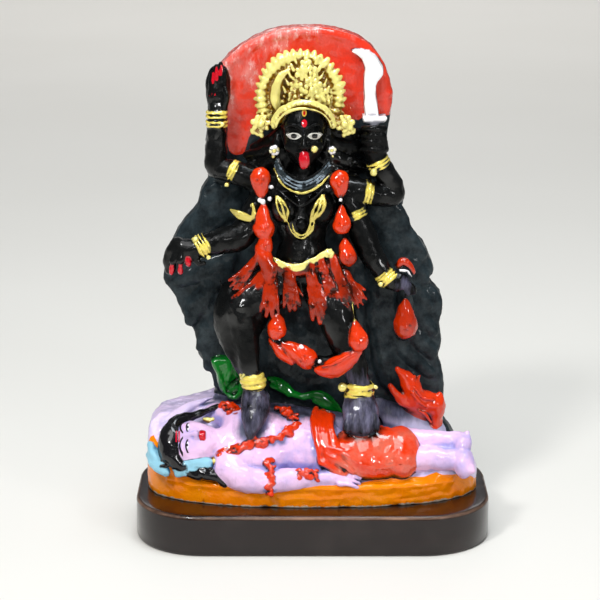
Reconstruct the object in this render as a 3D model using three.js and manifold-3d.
// A hand-painted plaster figure of Kali, cast in one piece, on a lacquered wooden plinth.
// The goddess stands on the reclining Shiva, before a back slab that is a round halo above
// and her spreading hair below. A jackal sits at the right foot of the slab.
// Millimetres, +Z up, front towards -Y, origin in the middle of the plinth's underside.
import * as THREE from "three";
import { mergeVertices } from "three/addons/utils/BufferGeometryUtils.js";
import Module from "manifold-3d";

// Driving sizes, in millimetres.
const CASTING_HEIGHT = 200;
const SLAB_THICKNESS = 14;
const PLINTH_HEIGHT = 18;
const PLINTH_LEDGE_ENDS = 4.5;
const PLINTH_LEDGE_FRONT = 11;
const PLINTH_CORNER = 30;
const PLINTH_CHAMFER = 1.2;

// The carving is laid out on a figure 200 units high, so one unit is a two-hundredth of its height.
const LAYOUT_HEIGHT = 200;
const UNIT = CASTING_HEIGHT / LAYOUT_HEIGHT;
const SLAB_FRONT = 14;
const SLAB_BACK = SLAB_FRONT + SLAB_THICKNESS / UNIT;
const BED = { halfLength: 72.5, halfDepth: 31.2, roundness: 2.4 };
const HALO = { x: -5.8, z: 160, radius: LAYOUT_HEIGHT - 160, roundness: 2.3 };

// How many straight steps stand for a quarter of the plinth's rounded plan.
const CORNER_STEPS = 6;

const wasm = await Module();
wasm.setup();

const v3 = (x, y, z) => new THREE.Vector3(x, y, z);

// A closed three.js geometry as a solid that can be joined and cut.
function solid(geometry) {
  const bare = geometry.clone();
  bare.deleteAttribute("normal");
  bare.deleteAttribute("uv");
  const merged = mergeVertices(bare, 1e-4);
  return new wasm.Manifold(
    new wasm.Mesh({
      numProp: 3,
      vertProperties: new Float32Array(merged.attributes.position.array),
      triVerts: new Uint32Array(merged.index.array),
    }),
  );
}

function geometryOf(made) {
  const mesh = made.getMesh();
  return new THREE.BufferGeometry()
    .setAttribute("position", new THREE.BufferAttribute(mesh.vertProperties, 3))
    .setIndex(new THREE.BufferAttribute(mesh.triVerts, 1));
}

const join = (solids) => solids.reduce((all, one) => all.add(one));

// Plaster fills the pockets between overlapping forms, so only the outer skin is kept: the faces
// that can be reached over shared corners from the lowest one.
function outerSkin(geometry) {
  const whole = mergeVertices(geometry, 1e-4);
  const corners = whole.attributes.position.array;
  const faces = whole.index.array;
  const parent = Array.from({ length: corners.length / 3 }, (_, i) => i);
  const rootOf = (i) => {
    while (parent[i] !== i) i = parent[i] = parent[parent[i]];
    return i;
  };
  let lowest = 0;
  for (let i = 0; i < faces.length; i += 3) {
    parent[rootOf(faces[i])] = rootOf(faces[i + 1]);
    parent[rootOf(faces[i + 1])] = rootOf(faces[i + 2]);
    if (corners[3 * faces[i] + 2] < corners[3 * lowest + 2]) {
      lowest = faces[i];
    }
  }
  const kept = [];
  for (let i = 0; i < faces.length; i += 3) {
    if (rootOf(faces[i]) === rootOf(lowest)) {
      kept.push(faces[i], faces[i + 1], faces[i + 2]);
    }
  }
  return whole.setIndex(kept);
}

function ellipsoid(centre, radii, { turn = [0, 0, 0], around = 8, down = 5 } = {}) {
  const ball = new THREE.SphereGeometry(1, around, down);
  const turned = new THREE.Quaternion().setFromEuler(new THREE.Euler(...turn));
  const place = new THREE.Matrix4().compose(v3(...centre), turned, v3(...radii));
  return solid(ball.applyMatrix4(place));
}

// A limb or lock: a smooth line through the points, with radii spread evenly along it.
// steps is how many rings lie between two points, and flat squeezes the section front to back.
function limb(points, radii, { sides = 6, steps = 2, flat = 1 } = {}) {
  const curve = new THREE.CatmullRomCurve3(points.map((p) => v3(...p)));
  const count = points.length > 2 ? steps * (points.length - 1) : 1;
  const rings = [];
  const ring = (at, radius) => {
    const centre = curve.getPoint(at);
    const ahead = curve.getTangent(at);
    const side = Math.abs(ahead.y) > 0.9 ? v3(1, 0, 0) : v3(0, 1, 0);
    const across = side.clone().cross(ahead).normalize();
    const deep = ahead.clone().cross(across).normalize();
    const loop = [];
    for (let s = 0; s < sides; s++) {
      const angle = (2 * Math.PI * s) / sides;
      loop.push(
        centre
          .clone()
          .addScaledVector(across, radius * Math.cos(angle))
          .addScaledVector(deep, radius * flat * Math.sin(angle)),
      );
    }
    rings.push(loop);
  };
  const beyond = (at, along) => curve.getPoint(at).addScaledVector(curve.getTangent(at), along);
  const radiusAt = (at) => {
    const place = at * (radii.length - 1);
    const low = Math.min(Math.floor(place), radii.length - 2);
    return THREE.MathUtils.lerp(radii[low], radii[low + 1], place - low);
  };
  for (let i = 0; i <= count; i++) ring(i / count, radiusAt(i / count));
  const bluntness = 0.75;
  const ends = [beyond(0, -bluntness * radii[0]), beyond(1, bluntness * radii[radii.length - 1])];
  return solid(skin(rings, ends));
}

// A closed skin over a stack of loops that all have as many points, with a point at each end.
function skin(rings, ends) {
  const sides = rings[0].length;
  const corners = [...rings.flat(), ...ends].flatMap((p) => [p.x, p.y, p.z]);
  const faces = [];
  for (let r = 0; r + 1 < rings.length; r++)
    for (let s = 0; s < sides; s++) {
      const a = r * sides + s;
      const b = r * sides + ((s + 1) % sides);
      faces.push(a, b, b + sides, a, b + sides, a + sides);
    }
  const top = (rings.length - 1) * sides;
  const [start, finish] = [top + sides, top + sides + 1];
  for (let s = 0; s < sides; s++) {
    const next = (s + 1) % sides;
    faces.push(start, next, s);
    faces.push(finish, top + s, top + next);
  }
  return new THREE.BufferGeometry()
    .setAttribute("position", new THREE.Float32BufferAttribute(corners, 3))
    .setIndex(faces);
}

// A flat shape drawn in X and Z, from the front plane to the back plane.
function plate(shape, front, back) {
  const made = new THREE.ExtrudeGeometry(shape, {
    depth: back - front,
    bevelEnabled: false,
    curveSegments: 10,
  });
  return solid(made.rotateX(Math.PI / 2).translate(0, back, 0));
}

const outlineOf = (pairs) => new THREE.Shape(pairs.map(([x, z]) => new THREE.Vector2(x, z)));

const THIN = { sides: 5, steps: 1 };
const cord = (points) => limb(points, [1.6, 1.6], { sides: 4, steps: 1 });

// A head on a string: a drop with its round end down, turned in the picture plane.
function drop(centre, width, height, turn = 0) {
  const profile = [
    [0, -0.5],
    [0.34, -0.4],
    [0.5, -0.08],
    [0.3, 0.28],
    [0, 0.5],
  ].map(([r, z]) => new THREE.Vector2(r * width, z * height));
  const made = new THREE.LatheGeometry(profile, 7).rotateX(Math.PI / 2).rotateY(turn);
  return solid(made.translate(...centre));
}

// A bangle round a limb at a point, with its axis along the limb.
function bangle(centre, axis, radius, thick = 1.3) {
  const made = new THREE.TorusGeometry(radius, thick, 3, 7).scale(1, 1, 1.7);
  const turn = new THREE.Quaternion().setFromUnitVectors(v3(0, 0, 1), v3(...axis).normalize());
  return solid(made.applyQuaternion(turn).translate(...centre));
}

// The slab's edge: an arc with full shoulders above, and below it a curve down each side with
// locks of hair.
function slabOutline() {
  const points = [];
  const arcSteps = 18;
  for (let i = 0; i <= arcSteps; i++) {
    const angle = (Math.PI * i) / arcSteps;
    const across = Math.sign(Math.cos(angle)) * Math.abs(Math.cos(angle)) ** (2 / HALO.roundness);
    const up = Math.sin(angle) ** (2 / HALO.roundness);
    points.push([HALO.x + HALO.radius * across, HALO.z + HALO.radius * up]);
  }
  const side = (corners, lock, locks) => {
    const curve = new THREE.CatmullRomCurve3(corners.map(([x, z]) => v3(x, 0, z)));
    const steps = 14;
    const found = [];
    for (let i = 0; i <= steps; i++) {
      const at = i / steps;
      const p = curve.getPoint(at);
      found.push([p.x + lock * at * Math.sin(2 * Math.PI * locks * at), p.z]);
    }
    return found;
  };
  const left = [
    [-46.4, 153],
    [-46, 134],
    [-56, 115],
    [-64, 96],
    [-56, 72],
    [-43, 36],
  ];
  const right = [
    [58, 12],
    [57.5, 45],
    [56, 78],
    [47, 105],
    [36.5, 127],
    [33.5, 152],
  ];
  points.push(...side(left, 0.8, 2));
  points.push([-43, 5], [58, 5]);
  points.push(...side(right, -1.2, 4));
  return outlineOf(points);
}

function backSlab() {
  const body = plate(slabOutline(), SLAB_FRONT, SLAB_BACK);
  const dish = new THREE.CylinderGeometry(HALO.radius - 3.2, HALO.radius - 3.2, 2, 24);
  return body.subtract(solid(dish.translate(HALO.x, SLAB_FRONT, HALO.z)));
}

// Locks of hair that run down the slab from each side of the head.
const LOCKS = 2;
function hairLocks() {
  const locks = [];
  const fall = (side, index) => {
    const spread = index / (LOCKS - 1);
    const top = [HALO.x + side * (15 + 8 * index), SLAB_FRONT - 1, 146 - 6 * index];
    const middle = [HALO.x + side * (24 + 13 * spread), SLAB_FRONT - 1, 118 - 6 * index];
    const low = [HALO.x + side * (27 + 20 * spread), SLAB_FRONT, 84 - 4 * index];
    const end = [HALO.x + side * (28 + 8 * spread), SLAB_FRONT + 1, 46];
    locks.push(limb([top, middle, low, end], [3.4, 3.6, 3.2, 2.2], { ...THIN, flat: 0.7 }));
  };
  for (let index = 0; index < LOCKS; index++) {
    fall(-1, index);
    fall(1, index);
  }
  return locks;
}

// The bed is the common part of its side view, its front view and its rounded plan.
function bed() {
  const overlong = 5;
  const [ends, top] = [BED.halfLength + overlong, 60];
  const sideView = outlineOf([
    [-BED.halfDepth - overlong, 0],
    [-BED.halfDepth - overlong, 8],
    [-BED.halfDepth + 1.5, 9.5],
    [-BED.halfDepth + 6, 11],
    [-2, 30],
    [10, 36],
    [SLAB_BACK, 31],
    [SLAB_BACK, 0],
  ]);
  const frontView = outlineOf([
    [-ends, 0],
    [-ends, 12],
    [-72, 25],
    [-70, 31.5],
    [-67, 34],
    [-42, 39.5],
    [58, 20],
    [68, 16.5],
    [ends, 5],
    [ends, 0],
  ]);
  const long = new THREE.ExtrudeGeometry(sideView, { depth: 2 * ends, bevelEnabled: false });
  long.applyMatrix4(new THREE.Matrix4().makeBasis(v3(0, 1, 0), v3(0, 0, 1), v3(1, 0, 0)));
  const plan = new THREE.ExtrudeGeometry(bedPlan(), { depth: top, bevelEnabled: false });
  return solid(long.translate(-ends, 0, 0))
    .intersect(plate(frontView, -BED.halfDepth - 2 * overlong, SLAB_BACK + overlong))
    .intersect(solid(plan));
}

// An oval with fuller corners than an ellipse.
function bedPlan() {
  const steps = 28;
  const fuller = (part) => Math.sign(part) * Math.abs(part) ** (2 / BED.roundness);
  const points = [];
  for (let i = 0; i < steps; i++) {
    const angle = (2 * Math.PI * i) / steps;
    const x = BED.halfLength * fuller(Math.cos(angle));
    points.push(new THREE.Vector2(x, BED.halfDepth * fuller(Math.sin(angle))));
  }
  return new THREE.Shape(points);
}

function roundedRectangle(halfLength, halfDepth, corner) {
  const turn = Math.PI / 2;
  const [x, y] = [halfLength - corner, halfDepth - corner];
  return new THREE.Shape()
    .absarc(x, y, corner, 0, turn)
    .absarc(-x, y, corner, turn, 2 * turn)
    .absarc(-x, -y, corner, 2 * turn, 3 * turn)
    .absarc(x, -y, corner, 3 * turn, 4 * turn);
}

// Places on the sloping top of the bed: along it, up the slope and out of it.
const SLOPE = { y: -13.5, z: 22, rise: 0.76 };
function onBed(x, up, out) {
  const [c, s] = [Math.cos(SLOPE.rise), Math.sin(SLOPE.rise)];
  return [x, SLOPE.y + up * c - out * s, SLOPE.z + up * s + out * c];
}
const lying = (centre, radii) => ellipsoid(onBed(...centre), radii, { turn: [SLOPE.rise, 0, 0] });
const lyingLimb = (points, radii, options) => limb(points.map((p) => onBed(...p)), radii, options);

// Shiva lies with his head to the left: head, hair, neck, chest, belly, the near arm, the far arm
// bent under the head, the near and far leg, locks of hair and both feet.
function shiva() {
  const long = { steps: 1 };
  const broad = { sides: 8, steps: 1 };
  const pieces = [
    lying([-46.5, 0, 4.5], [10.5, 9.5, 9]),
    lying([-54, 3, 2], [9, 12.5, 8]),
    lyingLimb([[-40, 0, 3], [-30, 0, 3]], [6.5, 7]),
    lying([-21, 1, 2], [14.5, 17, 10]),
    lying([-2, 0, 1], [12, 13.5, 8.5]),
    lyingLimb([[-33, -12, 3], [-20, -16.5, 2], [0, -16.5, 1.6], [7, -15, 2]], [6, 5.2, 4.2, 2.6], long),
    lyingLimb([[-34, 14, 1], [-62, 17, 0], [-66, -4, 0]], [6, 5.4, 4], long),
    lyingLimb([[6, -3, 2], [36, -4, 3], [44, -6, 2], [58, -6, 2]], [12, 9.5, 7, 4.6], broad),
    lyingLimb([[6, 8, 1], [36, 7, 1], [58, 5, 1]], [9, 8, 4.4], long),
    lyingLimb([[-57, 9, 3], [-50, 13, 3], [-42, 16, 3]], [4, 3.6, 2.4], THIN),
    lyingLimb([[-52, -12, 3], [-44, -16, 2], [-37, -18, 1]], [3.6, 3.4, 2.6], THIN),
    lying([64, -6, 4], [4.4, 4.2, 7]),
    lying([63, 5, 3], [4.2, 4, 6.5]),
  ];
  const sashFolds = 2;
  for (let fold = 0; fold < sashFolds; fold++) {
    const x = 3.5 + 5 * fold;
    pieces.push(lyingLimb([[x, 14, 3], [x - 2, 4, 10.5], [x, -9, 9]], [1.6, 2, 2], THIN));
  }
  const dhotiFolds = 4;
  for (let fold = 0; fold < dhotiFolds; fold++) {
    const up = 3 - 4 * fold;
    const out = 11.6 - 0.16 * up * up;
    const line = [[17, up + 1, out], [29, up - 1, out], [40, up, out - 3]];
    pieces.push(lyingLimb(line, [0.8, 1.3, 0.8], THIN));
  }
  const garland = [[-36, -9, 7.4], [-22, -2, 11.2], [-9, 1, 9], [-7, 8, 5.6], [-15, 13, 6]];
  const armlet = [[-20.5, -11, 8], [-20, -17, 7]];
  pieces.push(...flowerString(garland, 6), ...flowerString(armlet, 2));
  return pieces;
}

// A string of flowers laid on the sloping body.
function flowerString(points, count) {
  const curve = new THREE.CatmullRomCurve3(points.map((p) => v3(...onBed(...p))));
  const strung = [];
  for (let i = 0; i < count; i++) {
    const p = curve.getPointAt((i + 0.5) / count);
    strung.push(ellipsoid([p.x, p.y, p.z], [3, 2, 2], { turn: [0, 0.4, 0], around: 5, down: 4 }));
  }
  return strung;
}

const SHOULDERS = { right: [-19, 3, 132.5], left: [12, 3, 131.5] };
const HIPS = { right: [-12, -1, 92], left: [4, -1, 92] };

// Head with nose, tongue and earrings, then neck, chest, breasts, belly, hips, legs and feet.
function kaliBody() {
  const small = { around: 6, down: 4 };
  return [
    ellipsoid([-3.7, -0.5, 157.5], [9.8, 10.5, 13.8], { around: 12, down: 8 }),
    ellipsoid([-3.6, -10.6, 155], [1.9, 1.8, 3.6], small),
    ellipsoid([-3.7, -9.8, 147.8], [2.3, 1.6, 3.4], small),
    ellipsoid([-16.2, 2.5, 150], [2.6, 2.4, 2.8], small),
    ellipsoid([8.6, 2.5, 150], [2.6, 2.4, 2.8], small),
    limb([[-3.7, 2, 147], [-4, 3, 133]], [5.4, 6.5]),
    ellipsoid([-4, 3.5, 124], [16.5, 9, 12.5]),
    ellipsoid([-12, -5.2, 125.5], [6.2, 5.6, 6.4]),
    ellipsoid([3, -5.2, 125.5], [6.2, 5.6, 6.4]),
    ellipsoid([-4.2, 1.8, 108], [11.5, 8.8, 12]),
    ellipsoid([-4, 2, 95], [18, 10.5, 10]),
    limb([HIPS.right, [-30, -7, 80], [-28, -10, 66], [-25, -11, 50]], [10.5, 8.8, 7.4, 4.6]),
    limb([[-24.6, -8, 48], [-26, -17, 39], [-28, -25, 31.5]], [5.4, 5.4, 4.6], { flat: 0.7 }),
    limb([HIPS.left, [12.5, -8, 73], [15, -9, 62], [17.3, -10, 47]], [10.5, 8.4, 7, 4.6]),
    limb([[17.2, -7, 45], [18.6, -17, 38], [19.4, -26, 31.5]], [5.4, 6, 5.6], { flat: 0.7 }),
  ];
}

// Upper right arm raised with the palm open, lower right arm held out, upper left arm with the
// sword, lower left arm with the head.
function kaliArms() {
  const bent = { steps: 1 };
  const raised = [SHOULDERS.right, [-33, 5, 136.5], [-41.3, 6, 139], [-41, 8, 150], [-40.6, 8.5, 163]];
  const heldOut = [SHOULDERS.right, [-26.5, 0, 119], [-29, -2.5, 112.5], [-38, -5, 111], [-47, -6, 108.5]];
  const withSword = [SHOULDERS.left, [26, 4, 129], [35.5, 5.5, 126.5], [32, 5, 134], [27.6, 4.5, 143]];
  const withHead = [SHOULDERS.left, [20, 1, 119], [25, -1, 110], [33.4, -4, 94]];
  return [
    limb(raised, [6.4, 5.4, 5, 4.6, 3.6], bent),
    ellipsoid([-40, 8.5, 172], [4.7, 2.8, 7.2]),
    ellipsoid([-39.4, 9, 180], [4.2, 2.4, 6.4]),
    limb(heldOut, [6.4, 6, 6.2, 5.6, 4.4], bent),
    limb([[-47, -6, 108.5], [-55, -7, 104], [-60, -9, 94]], [4.4, 5.6, 3.6], { flat: 0.6 }),
    limb(withSword, [6.4, 5.8, 5.2, 4.8, 4], bent),
    limb([[27.6, 4.5, 143], [26, 3.5, 151], [26.4, 4, 158]], [4.2, 5.6, 4.6], { flat: 0.8 }),
    limb(withHead, [6.2, 5.4, 5, 3.8], bent),
    limb([[33.4, -4, 94], [38, -5, 92], [40, -5, 97]], [3.8, 4.4, 3], { flat: 0.8 }),
  ];
}

// Bangles from the raised wrist round to the ankles, then collar, pendant chain and belt.
function jewellery() {
  const collar = [[-18, -4, 139], [-12, -7, 134.4], [-4, -8.5, 131.6], [4, -7, 134.4], [10, -4, 139]];
  const chain = [[-10, -9, 121], [-8, -7, 116], [-4.4, -6.4, 113.6], [-1, -7, 116], [1, -9, 121]];
  return [
    bangle([-40.7, 8.5, 162], [0, 0, 1], 3.9),
    bangle([-34, 5, 137], [-1, 0.2, 0.35], 5.2),
    bangle([-28, -1.5, 119.5], [-0.3, -0.3, -1], 6.2),
    bangle([-46, -6, 108.8], [-1, -0.1, -0.3], 4.6, 1.5),
    bangle([22, 3.5, 130], [1, 0.1, -0.2], 5.8),
    bangle([28, 4.5, 142.2], [-0.4, 0, 1], 4.2, 1.6),
    bangle([19.5, 1.2, 120.5], [0.5, -0.2, -1], 5.2),
    bangle([32.2, -3.6, 96.4], [0.45, -0.2, -1], 3.9, 1.6),
    bangle([-25, -11, 51.5], [0.1, 0, -1], 4.6, 1.6),
    bangle([17.2, -10, 48], [0.1, 0, -1], 4.8, 1.8),
    limb(collar, [1.6, 2, 1.6], THIN),
    limb(chain, [1.2, 1.5, 1.2], THIN),
    limb([[-17.5, -7, 103], [-5, -11, 99.5], [7, -9, 104.5]], [1.6, 1.8, 1.6], THIN),
  ];
}

// The crown is a fan with a scalloped edge, a rim over the brow, a tall leaf spray in front and
// a rosette over each ear.
const CROWN = { x: -5.1, z: 171, radius: 20.4, scallop: 1.4, scallops: 20, droop: 0.22 * Math.PI };
const BROW = { x: -4.1, y: -3.5, z: 158.5, halfWidth: 12.6, rise: 13.2, thick: 2.6 };
function crown() {
  const fan = [];
  const sweep = Math.PI + 2 * CROWN.droop;
  for (let i = 0; i <= 2 * CROWN.scallops; i++) {
    const angle = -CROWN.droop + (sweep * i) / (2 * CROWN.scallops);
    const reach = CROWN.radius + (i % 2 ? CROWN.scallop : 0);
    fan.push([CROWN.x + reach * Math.cos(angle), CROWN.z + reach * Math.sin(angle)]);
  }
  const rim = [];
  const rimSteps = 6;
  for (let i = 0; i <= rimSteps; i++) {
    const angle = (Math.PI * i) / rimSteps;
    rim.push([BROW.x + BROW.halfWidth * Math.cos(angle), BROW.y, BROW.z + BROW.rise * Math.sin(angle)]);
  }
  const rosette = (side) =>
    ellipsoid([BROW.x + side * 17.4, 3, BROW.z], [5, 4.5, 3.6], { turn: [0, -side * 0.5, 0] });
  return [
    plate(outlineOf(fan), 5, SLAB_FRONT + 2),
    limb(rim, [BROW.thick, BROW.thick], { steps: 1 }),
    ellipsoid([CROWN.x + 0.6, 1.5, 179], [8.6, 6.5, 12.5], { turn: [0.15, 0, 0] }),
    rosette(-1),
    rosette(1),
  ];
}

// Hair that swells out behind the ears.
function hairMass() {
  return [
    ellipsoid([-21, 8, 144], [11, 6.5, 9], { turn: [0, 0.4, 0] }),
    ellipsoid([15, 8, 145], [13, 6.5, 11], { turn: [0, -0.5, 0] }),
  ];
}

// The sword stands in relief on the halo: a broad hooked blade, a narrow neck and a guard.
function sword() {
  const blade = outlineOf([
    [22, 162],
    [22.6, 182],
    [20.4, 188],
    [16.3, 190.4],
    [18, 192.6],
    [24, 192.8],
    [29.6, 185.5],
    [29.6, 180.6],
    [27.2, 177],
    [28.8, 162],
  ]);
  const guard = outlineOf([
    [21.4, 162.6],
    [31.6, 162.6],
    [29.6, 159.8],
    [26, 157.6],
    [23, 159.4],
  ]);
  return [plate(blade, 9, SLAB_FRONT + 3), plate(guard, 2, SLAB_FRONT + 3)];
}

// The skirt of hanging hands, each a line with its thin and its wide end, and the garland of
// heads that hangs from the shoulders and swings between the knees.
function skirtAndGarland() {
  const hands = [
    [[-17, -7, 101], [-25, -9, 96.5], [-34, -8, 91], 2, 2.6],
    [[-17, -8, 98], [-25, -10, 91], [-33, -10, 84.5], 2.6, 3.2],
    [[-14, -9, 101], [-17, -12, 90], [-20, -12, 78.5], 4.6, 4.2],
    [[-9, -10, 100], [-9.5, -12, 92], [-10, -12, 85], 3.4, 2.6],
    [[-2, -10, 99], [-1, -13, 87], [0.4, -13, 75.5], 3.2, 4],
    [[4, -10, 100], [5, -12.5, 91], [6.6, -12, 83], 3.4, 3.2],
    [[9, -9, 102], [11.5, -11.5, 93], [14, -11, 82], 3.4, 4.2],
  ];
  const hand = ([from, over, to, thin, wide]) =>
    limb([from, over, to], [thin, (thin + wide) / 2, wide], { steps: 1, flat: 0.7 });
  const heads = [
    [[-22, -6, 136.4], 9.4, 13.6, Math.PI],
    [[-20.8, -7, 122.5], 8, 14.5, 0.1],
    [[-19.4, -7, 111.5], 6.4, 9, 0],
    [[11.2, -6, 134.8], 8.8, 12.6, Math.PI],
    [[13, -7, 120.8], 6.6, 12.8, 0],
    [[14.8, -8, 105], 7, 13.5, -0.15],
    [[-16.6, -12, 72.2], 6.4, 12.5, -0.2],
    [[-9.6, -13, 63], 8.6, 13, -1],
    [[18.2, -12.5, 69], 6.6, 13, 0.1],
    [[9.8, -13, 58.6], 8.2, 14, 1.05],
  ];
  const kneeSwag = [
    [-17, -8, 84],
    [-16.6, -10, 74],
    [-10, -11, 63],
    [0, -11, 57.5],
    [9, -11, 58],
    [17, -11, 66],
    [17, -9, 78],
  ];
  return [
    ...hands.map(hand),
    ...heads.map((head) => drop(...head)),
    cord([[-21, 2, 136], [-20.8, -5, 122], [-19.4, -5.5, 111], [-15, -5, 101]]),
    cord(kneeSwag),
    cord([[11.2, 2, 136], [12.6, -4, 121], [14.4, -6, 106], [10, -5, 98]]),
  ];
}

function severedHead() {
  return [
    drop([40, -2, 76.5], 10.4, 17, 0),
    limb([[39, -4, 90], [40, -2, 80], [40, 8, 74]], [2, 3, 3], { steps: 1 }),
  ];
}

// Neck and muzzle, back, haunch, the raised foreleg, the other foreleg and an ear.
function jackal() {
  return [
    limb([[44, 8, 38], [43, 7, 43], [40, 6, 48], [36.8, 5, 52.5]], [5.4, 4.6, 3.8, 1.7], { steps: 1 }),
    limb([[44, 9, 38], [50, 10, 37], [55, 11, 35]], [6, 6.6, 5.8], { steps: 1 }),
    ellipsoid([53, 11, 29], [5.4, 5.6, 7]),
    limb([[42, 7, 36], [37.5, 6, 39.5], [33.4, 6, 43.5]], [2.8, 2, 1.5], THIN),
    limb([[45, 9, 34], [47, 7, 27], [49, 6, 22]], [3.2, 2.8, 2], THIN),
    limb([[43.4, 7, 49], [45.6, 8, 51.5]], [1.6, 0.8], THIN),
  ];
}

// Two falls of a green cloth: one beside the foot and one along the foot of the slab.
function greenCloth() {
  return [
    limb([[-42, 13, 56], [-37, 10, 49.5], [-34.5, 6, 42]], [4.6, 6, 4.6]),
    limb([[-21, 12, 46], [-11, 11, 42.6], [-2, 10, 39.4], [8, 8, 35.6]], [3.2, 4.4, 4.6, 3.6], {
      steps: 1,
    }),
  ];
}

function casting() {
  const joined = join([
    backSlab(),
    bed(),
    ...hairLocks(),
    ...hairMass(),
    ...shiva(),
    ...kaliBody(),
    ...kaliArms(),
    ...jewellery(),
    ...crown(),
    ...sword(),
    ...skirtAndGarland(),
    ...severedHead(),
    ...jackal(),
    ...greenCloth(),
  ]);
  const enamel = new THREE.MeshStandardMaterial({ color: 0x1c1f24, roughness: 0.32, metalness: 0 });
  const mesh = new THREE.Mesh(outerSkin(geometryOf(joined)), enamel);
  mesh.name = "kali_casting";
  mesh.scale.setScalar(UNIT);
  mesh.position.z = PLINTH_HEIGHT;
  return mesh;
}

// The plinth is longer and deeper than the bed by a ledge, and its top and bottom edges are eased.
function plinth() {
  const halfLength = BED.halfLength * UNIT + PLINTH_LEDGE_ENDS;
  const halfDepth = BED.halfDepth * UNIT + PLINTH_LEDGE_FRONT;
  const loop = (inset, z) => {
    const corner = Math.min(PLINTH_CORNER, halfDepth - 1) - inset;
    const edge = roundedRectangle(halfLength - inset, halfDepth - inset, corner);
    const points = edge.getPoints(CORNER_STEPS);
    points.pop();
    return points.map((p) => v3(p.x, p.y, z));
  };
  const rings = [
    loop(PLINTH_CHAMFER, 0),
    loop(0, PLINTH_CHAMFER),
    loop(0, PLINTH_HEIGHT - PLINTH_CHAMFER),
    loop(PLINTH_CHAMFER, PLINTH_HEIGHT),
  ];
  const lacquer = new THREE.MeshStandardMaterial({ color: 0x1a0705, roughness: 0.18, metalness: 0 });
  const block = solid(skin(rings, [v3(0, 0, 0), v3(0, 0, PLINTH_HEIGHT)]));
  const mesh = new THREE.Mesh(geometryOf(block), lacquer);
  mesh.name = "plinth";
  return mesh;
}

const kaliFigure = new THREE.Group();
kaliFigure.add(plinth(), casting());

export default kaliFigure;
